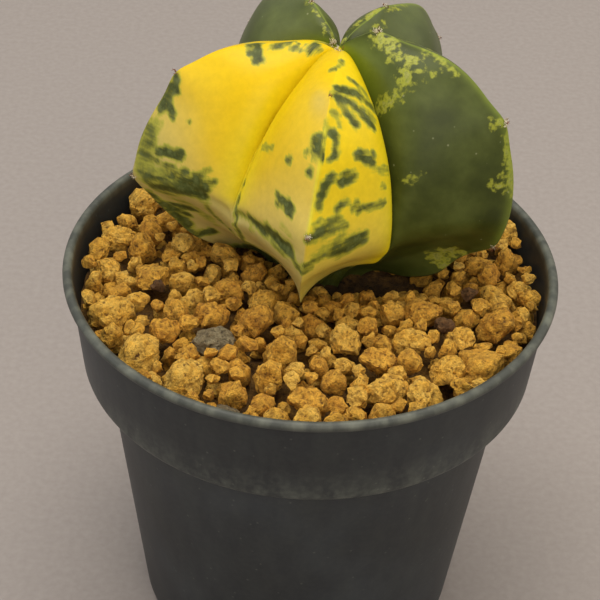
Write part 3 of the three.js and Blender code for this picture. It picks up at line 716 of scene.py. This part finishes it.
def mark_field(number, points, side):
    """How strongly a rib's marks reach each of its points, from 0 to 1, with edges that wander."""
    field = np.zeros(len(points))
    wide, fine = WANDER_SIZES
    wander = np.array([
        noise.noise_vector(Vector(p) / wide) + 0.6 * noise.noise_vector(Vector(p) / fine) for p in points
    ])
    places = points + wander * MARK_WANDER
    for *ends, half_width, strength in MARKS[number]:
        t1, side1, t2, side2 = (end / 1000 for end in ends)
        ends = skin_point(number, np.array([t1, t2]), np.array([side1, side2]))
        run = ends[1] - ends[0]
        share = np.clip((places - ends[0]) @ run / max(run @ run, 1e-6), 0, 1)
        distance = np.linalg.norm(places - ends[0] - share[:, None] * run, axis=1)
        edge = MARK_EDGE * half_width + MARK_SOFTNESS[number]
        reach = strength * smooth(1 - (distance - MARK_CORE * half_width) / edge)
        same_flank = (side * (side1 + side2) >= 0) | (np.abs(side) < 0.02)
        field = np.maximum(field, reach * same_flank)
    return field


def streak_place(number, t, side):
    """A pattern place for the streaks, which fan from the ridge to the groove's middle, apart on each flank."""
    out = np.abs(side)
    across = (t - STREAK_LEVEL) / (1 - 0.5 * out) * SKIN_LENGTH
    return np.stack([across / STREAK_WIDTH, out * FLANK_WIDTH / STREAK_LENGTH, number * 17 + np.sign(side) * 5], -1)


def root_point(number, side, depth):
    """Places on the tap root, by depth from 0 at the neck's ring to 1 at its tip."""
    ring = np.array(((spline(GROOVE, np.array(1.0))[0] + 0.2, GROOVE[-1][1]),) + ROOT_RINGS)
    radius, level = (np.interp(depth, np.linspace(0, 1, len(ring)), ring[:, k]) for k in (0, 1))
    heading = np.array([math.radians(rib.heading) for rib in RIBS])[number]
    spread = np.array([half_angle(n, s) for n, s in zip(number, side)]) - SLIT_HALF_ANGLE
    angle = heading + np.radians(side * spread)
    return stand(radius * np.cos(angle), radius * np.sin(angle), level)


def flesh_fields(number, t, side, level, green):
    """The skin's other fields: pale, line, lime and lemon. Level runs from 0 at the neck to about 1 at the crown."""
    out = np.abs(side)
    yellow = np.isin(number, YELLOW_RIBS)
    left, front, right = (number == rib for rib in (LEFT, FRONT, RIGHT))
    front_right = front & (side > 0)
    low = yellow * smooth((t - 0.55) / 0.06)
    # Paler low down and along parts of the ridges, and on the green ribs a grey cast high up that is painted sheen
    pale = 0.9 * yellow * smooth(1.15 - level * 1.25)
    pale += np.where(number > RIGHT, 0.24, 0.08 * right) * smooth(level * 1.6 - 0.7) * smooth((t - 0.08) / 0.15)
    pale += 0.45 * left * smooth(1 - out / 0.55) * smooth((t - 0.25) / 0.2)
    pale += 0.35 * front * (side < 0) * smooth(1 - out / 0.6) * smooth((t - 0.2) / 0.1)
    pale += 0.3 * front * np.exp(-(((t - 0.266) / 0.028) ** 2) - ((side + 0.09) / 0.11) ** 2)
    pale += low * np.where(front_right, 0.1, 0.6)
    # A bright line on the front ridge between its areoles, where no mark is, and on the green ribs' ridges
    line = 0.65 * front * np.exp(-((out / 0.012) ** 2)) * smooth((t - 0.27) / 0.05) * smooth((0.53 - t) / 0.03)
    line *= 1 - 0.8 * smooth(green * 1.4)
    line += 0.5 * ~yellow * np.exp(-((out / 0.03) ** 2)) * smooth((0.7 - t) / 0.1)
    # Lemon yellow towards the grooves and on the front rib's right flank
    lemon = smooth((out - 0.35) / 0.6) * np.where(yellow, 0.8, smooth((0.4 - t) / 0.4))
    lemon += 0.35 * front_right
    lemon *= np.where(front_right, 1, 1 - low)
    lemon += 0.3 * right * (side < 0) * smooth((0.3 - t) / 0.2) * smooth(out / 0.5)
    return {"pale": np.clip(pale, 0, 1), "line": line, "lime": (~yellow).astype(float), "lemon": np.clip(lemon, 0, 1)}


def build_skin():
    """A ball with a meridian for each column of the skin, every vertex moved to its place on the ribs."""
    columns = len(RIBS) * (2 * FLANK_STEPS + 1)
    rows = SKIN_ROWS + ROOT_ROWS
    bpy.ops.mesh.primitive_uv_sphere_add(segments=columns, ring_count=rows, radius=1)
    skin = bpy.context.object
    mesh = skin.data
    places = read_points(mesh)
    turn = np.arctan2(places[:, 1], places[:, 0]) % math.tau
    column = np.rint(turn / math.tau * columns).astype(int) % columns
    row = np.rint(np.arccos(np.clip(places[:, 2], -1, 1)) / math.pi * rows).astype(int)
    number, step = np.divmod(column, 2 * FLANK_STEPS + 1)
    even = step / FLANK_STEPS - 1
    side = np.sign(even) * (0.5 * np.abs(even) + 0.25 - 0.25 * np.cos(np.pi * np.abs(even)))
    t = np.clip(row / SKIN_ROWS, 0.002, 1)
    points = np.zeros_like(places)
    green = np.zeros(len(places))
    streaks = np.zeros_like(places)
    for rib in range(len(RIBS)):
        mine = number == rib
        points[mine] = skin_point(rib, t[mine], side[mine])
        green[mine] = mark_field(rib, points[mine], side[mine])
        if rib not in YELLOW_RIBS:
            green[mine] = GREEN_DEPTH * (1 - green[mine])
        streaks[mine] = streak_place(rib, t[mine], side[mine])
    scar = np.linalg.norm(points - skin_point(LEFT, *np.array(SCAR_AT)[:, None]), axis=1)
    green = np.maximum(green, SCAR_STRENGTH * np.exp(-(((scar - SCAR_RADIUS) / SCAR_WIDTH) ** 2)))
    # Painted shade: the yellow ribs turn dark green towards the neck, under the body where shade falls
    green = np.maximum(green, np.isin(number, YELLOW_RIBS) * smooth((t - 0.86) / 0.05))
    below = row > SKIN_ROWS
    points[below] = root_point(number[below], side[below], (row[below] - SKIN_ROWS) / ROOT_ROWS)
    # The ball's two poles
    on_axis = np.hypot(places[:, 0], places[:, 1]) < 1e-4
    points[on_axis & (places[:, 2] > 0)] = stand(0, 0, CROWN_TOP)
    points[on_axis & (places[:, 2] < 0)] = stand(0, 0, ROOT_RINGS[-1][1])
    move_points(mesh, points)
    mesh.update()
    normals = read_points(mesh, "normal")
    out = np.abs(side)
    dents = np.array([noise.noise(Vector(p) / DENT_SIZE) for p in points])
    calm = smooth(out / 0.15) * smooth((1 - out) / 0.1) * (~below)
    points += normals * (dents * DENT_DEPTH * calm)[:, None]
    move_points(mesh, points)
    level = (points[:, 2] - PLANT_AT[2]) / PLANT_TALL
    keep_field(mesh, "green", green)
    for name, values in flesh_fields(number, t, side, level, green).items():
        keep_field(mesh, name, values)
    mesh.attributes.new("streaks", "FLOAT_VECTOR", "POINT").data.foreach_set("vector", streaks.ravel())
    select_only(skin)
    bpy.ops.object.mode_set(mode="EDIT")
    bpy.ops.mesh.select_all(action="SELECT")
    bpy.ops.mesh.normals_make_consistent(inside=False)
    bpy.ops.object.mode_set(mode="OBJECT")
    bpy.ops.object.shade_smooth()
    finish_piece(skin, "cactus_body", waxy_skin(), "cactus")
    return skin


def rib_frame(number, t, side=0.0):
    """A place on the skin with its outward direction."""
    def beside(down, across):
        return skin_point(number, np.array([t + down]), np.array([side + across]))[0]

    here = beside(0, 0)
    out = np.cross(beside(0, 0.06) - beside(0, -0.06), beside(0.004, 0) - beside(-0.004, 0))
    out *= np.sign(out @ (here - stand(0, 0, PLANT_MIDDLE)))
    return here, out / np.linalg.norm(out)


def curl(rng, root, out, length, spread):
    """The points of one curled hair."""
    lean = rng.normal(size=3)
    lean -= out * (lean @ out)
    lean *= spread * rng.uniform(0.2, 1) / np.linalg.norm(lean)
    twist = np.cross(out, lean)
    points = []
    for f in (0, 0.25, 0.5, 0.75, 1):
        points.append(root + length * (out * (f - 0.35 * f * f) + lean * f**1.4 + twist * 0.35 * math.sin(3 * f)))
    return points


def hair_piece(name, strands, thickness):
    """Curled hairs as one mesh of thin tubes."""
    curve = bpy.data.curves.new(name, "CURVE")
    curve.dimensions = "3D"
    curve.bevel_depth = thickness * MM
    curve.bevel_resolution = 0
    for points in strands:
        line = curve.splines.new("POLY")
        line.points.add(len(points) - 1)
        for k, point in enumerate(points):
            line.points[k].co = (*(Vector(point) * MM), 1)
            line.points[k].radius = 1 - 0.7 * k / (len(points) - 1)
    select_only(place_new(name, curve))
    bpy.ops.object.convert(target="MESH")
    return bpy.context.object


def grow_tuft(rng, strands, place, count, spread, lengths, lean, pit_and_hollow_shade=0.0):
    """Adds the curled hairs of one tuft, rooted round a place on the skin."""
    here, out = place
    for _ in range(count):
        root = here + rng.normal(size=3) * spread - out * pit_and_hollow_shade
        strands.append(curl(rng, root, out, rng.uniform(*lengths), lean))


# The hairs on an areole whose wool is 1, and the crown's tufts: rib, t, side and how many hairs
AREOLE_HAIRS = 34
CROWN_TUFTS = ((4, 0.04, 0.6, 46), (FRONT, 0.075, -0.1, 34))


def build_wool():
    """The tufts of the areoles and the crown: a few short pale hairs round brown bits."""
    rng = np.random.default_rng(3)
    pale, brown = [], []
    for number, rib in enumerate(RIBS):
        for pad, wool in zip(rib.areoles, rib.wool):
            place = rib_frame(number, pad)
            grow_tuft(rng, pale, place, int(AREOLE_HAIRS * wool), 0.18 + 0.07 * wool, (0.25, 0.55), 1.0, 0.2)
            grow_tuft(rng, brown, place, 8, 0.26, (0.4, 0.9), 0.8)
    for number, t, side, count in CROWN_TUFTS:
        place = rib_frame(number, t, side)
        grow_tuft(rng, pale, place, count, 0.27, (0.3, 0.65), 1.0)
        grow_tuft(rng, brown, place, 5, 0.5, (0.5, 1.1), 0.8)
    for name, strands, thickness, look in (
        ("areole_wool", pale, 0.07, dry_wool("dry_wool", "B9AC8A", "E6DCC3")),
        ("areole_bits", brown, 0.08, dry_wool("withered_bits", "4A2A1C", "8A5230")),
    ):
        finish_piece(hair_piece(name, strands, thickness), name, look, "cactus")


# Granules


def granule_radius():
    """A granule's radius: mostly fines and middling grains, with a few large."""
    return RNG.choice([RNG.uniform(*size) for size in GRANULE_SIZES], p=GRANULE_ODDS)


def hollow_share(places):
    """How deep in the hollow before the stem each place on the plan lies, from 0 to 1."""
    return np.exp(-(((places - HOLLOW_AT) / HOLLOW_SIZE) ** 2).sum(1))


def drop_granules(skin_tree):
    """Sets the large granules, then drops the rest one by one where they lie low, clear of plant and wall."""
    balls = np.array([(x, y, DRESSING_LEVEL - 0.5 * radius, radius) for x, y, radius in LARGE_GRANULES + STONES + BARK])
    for _ in range(GRANULE_TRIES):
        radius = granule_radius()
        angle = RNG.uniform(0, math.tau, GRANULE_CHOICES)
        far = (WALL_INSIDE - radius * WALL_SHARE) * np.sqrt(RNG.uniform(0, 1, GRANULE_CHOICES))
        spots = np.stack([far * np.cos(angle), far * np.sin(angle)], -1)
        gap = np.linalg.norm(spots[:, None] - balls[None, :, :2], axis=2)
        touch = (radius + balls[:, 3]) * NESTING
        lift = balls[:, 2] + np.sqrt(np.maximum(touch**2 - gap**2, 0))
        rest = np.maximum(BED_LEVEL + radius * BED_SHARE, np.where(gap < touch, lift, 0).max(1))
        ceiling = DRESSING_LEVEL - HOLLOW_DEPTH * hollow_share(spots)
        for k in np.argsort(rest)[:LOWEST_CHOICES]:
            if rest[k] + TOP_SHARE * radius > ceiling[k]:
                continue
            centre = Vector((spots[k][0], spots[k][1], rest[k]))
            distance = skin_tree.find_nearest(centre * MM)[3] / MM
            if distance > radius * SKIN_SHARE + SKIN_GAP:
                balls = np.vstack([balls, (*centre, radius)])
                break
    return balls


def ico_shape(subdivisions):
    """Vertices and faces of a ball, radius 1."""
    bpy.ops.mesh.primitive_ico_sphere_add(subdivisions=subdivisions, radius=1)
    ball = bpy.context.object
    places = read_points(ball.data)
    faces = np.array([p.vertices for p in ball.data.polygons])
    bpy.data.meshes.remove(ball.data)
    return places, faces


def broken_grain(rng, places, radius):
    """A ball broken to an angular lump with pits and knobs, and how much dust and painted shade each of its points
    takes.
    """
    flats = rng.normal(size=(BREAKS, 3))
    flats /= np.linalg.norm(flats, axis=1, keepdims=True)
    level = rng.uniform(*BREAK_LEVELS, BREAKS)
    facing = np.maximum(places @ flats.T, 0.08)
    reach = np.minimum((level / facing).min(1), GRAIN_REACH)
    offset = Vector(rng.uniform(0, 90, 3))
    lumps = np.array([noise.noise(Vector(p) * 1.8 + offset) for p in places])
    crumbs = np.array([noise.noise(Vector(p) * radius * 1.3 + offset) for p in places])
    grit = np.array([noise.noise(Vector(p) * radius * 2.6 - offset) for p in places])
    shape = places * (reach + LUMPS * lumps + (CRUMBS * crumbs + GRIT * grit) / radius)[:, None]
    shape *= (GRAIN_LENGTH, rng.uniform(*GRAIN_WIDTHS), rng.uniform(*GRAIN_HEIGHTS))
    spin = Matrix.Rotation(rng.uniform(0, math.tau), 3, Vector(rng.normal(size=3)))
    shape = shape @ np.array(spin).T * radius * 0.97
    # Its hollows and its underside darken, partly with dust and partly with painted shade
    return shape, np.clip(0.3 - 1.1 * crumbs - 0.9 * grit, 0, 1) + 0.9 * smooth(-0.15 - shape[:, 2] / radius)


def grain_piece(name, grains, surface):
    """Many grains as one mesh, each with a tint of its own."""
    rng = np.random.default_rng(len(grains))
    balls = [ico_shape(level) for level in (2, 3, 4)]
    points, faces, tints, hollows = [], [], [], []
    start = 0
    for x, y, z, radius in grains:
        places, sides = balls[sum(radius > least for least, _ in GRANULE_SIZES[1:])]
        shape, hollow = broken_grain(rng, places, radius)
        shape += (x, y, z)
        # No grain goes into the pot's wall
        far = np.hypot(shape[:, 0], shape[:, 1])
        inside = np.minimum(far, wall_inside(z) - 0.1)
        shape[:, :2] *= (inside / far)[:, None]
        points.append(shape)
        faces.append(sides + start)
        tints.append(np.full(len(shape), rng.uniform(0, 1)))
        hollows.append(hollow)
        start += len(shape)
    mesh = bpy.data.meshes.new(name)
    mesh.from_pydata((np.concatenate(points) * MM).tolist(), [], np.concatenate(faces).tolist())
    keep_field(mesh, "tint", np.concatenate(tints))
    keep_field(mesh, "hollow", np.concatenate(hollows))
    piece = place_new(name, mesh)
    select_only(piece)
    bpy.ops.object.shade_smooth_by_angle(angle=math.radians(38))
    finish_piece(piece, name, surface, "top_dressing")


def build_dressing(skin_tree):
    """The granules that show, with the odd stones and bits of bark among them."""
    balls = drop_granules(skin_tree)
    first, last = len(LARGE_GRANULES), len(LARGE_GRANULES + STONES + BARK)
    stones, bark = np.split(balls[first:last], [len(STONES)])
    clay = np.concatenate((balls[:first], balls[last:]))
    seen = clay[clay[:, 2] + clay[:, 3] > DRESSING_LEVEL - SEEN_DEPTH]
    ochre = fired_clay("ochre_fired_clay", "CC9130", "E7B041", "F4C85F", "5E3D16")
    for number in range(2):
        grain_piece("granules_%d" % number, seen[number::2], ochre)
    grain_piece("odd_stones", stones, fired_clay("weathered_tuff", "54493A", "7A6C50", "978B6C", "332B1E"))
    grain_piece("bark_bits", bark, fired_clay("composted_bark", "3E2814", "5E4022", "7C5A34", "24160A"))


def build_bed():
    """The bed of fines: a square grid drawn in to a disc and roughened, low before the stem."""
    bpy.ops.mesh.primitive_grid_add(x_subdivisions=BED_STEPS, y_subdivisions=BED_STEPS, size=2 * BED_RADIUS * MM)
    bed = bpy.context.object
    mesh = bed.data
    places = read_points(mesh) / MM
    far = np.abs(places[:, :2]).max(1)
    round_far = np.linalg.norm(places[:, :2], axis=1)
    scale = np.where(round_far > 0, far / np.maximum(round_far, 1e-6), 1)
    places[:, :2] *= scale[:, None]
    roughness = np.array([
        noise.noise(Vector((x, y, 0)) / 1.7) + 0.5 * noise.noise(Vector((x, y, 9)) / 0.8) for x, y in places[:, :2]
    ])
    hollow = hollow_share(places[:, :2])
    places[:, 2] = BED_LEVEL + BED_RISE * (1 - hollow) + 0.9 * roughness
    move_points(mesh, places)
    # Painted shade: the bed darkens in the hollow before the stem, under the plant, and in its low spots
    keep_field(mesh, "hollow", np.clip(1.5 * hollow - 0.3 * roughness, 0, 1))
    bpy.ops.object.shade_smooth()
    fines = fired_clay("clay_fines", "4E3616", "8A6428", "B5873A", "1D130A")
    finish_piece(bed, "dressing_bed", fines, "top_dressing")


place_camera()
light_the_studio()
lay_floor()
build_pot()
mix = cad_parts["potting_mix"]
mix.data.materials.clear()
mix.data.materials.append(peat_and_pumice())
skin = build_skin()
build_wool()
skin_tree = BVHTree.FromObject(skin, bpy.context.evaluated_depsgraph_get())
build_dressing(skin_tree)
build_bed()
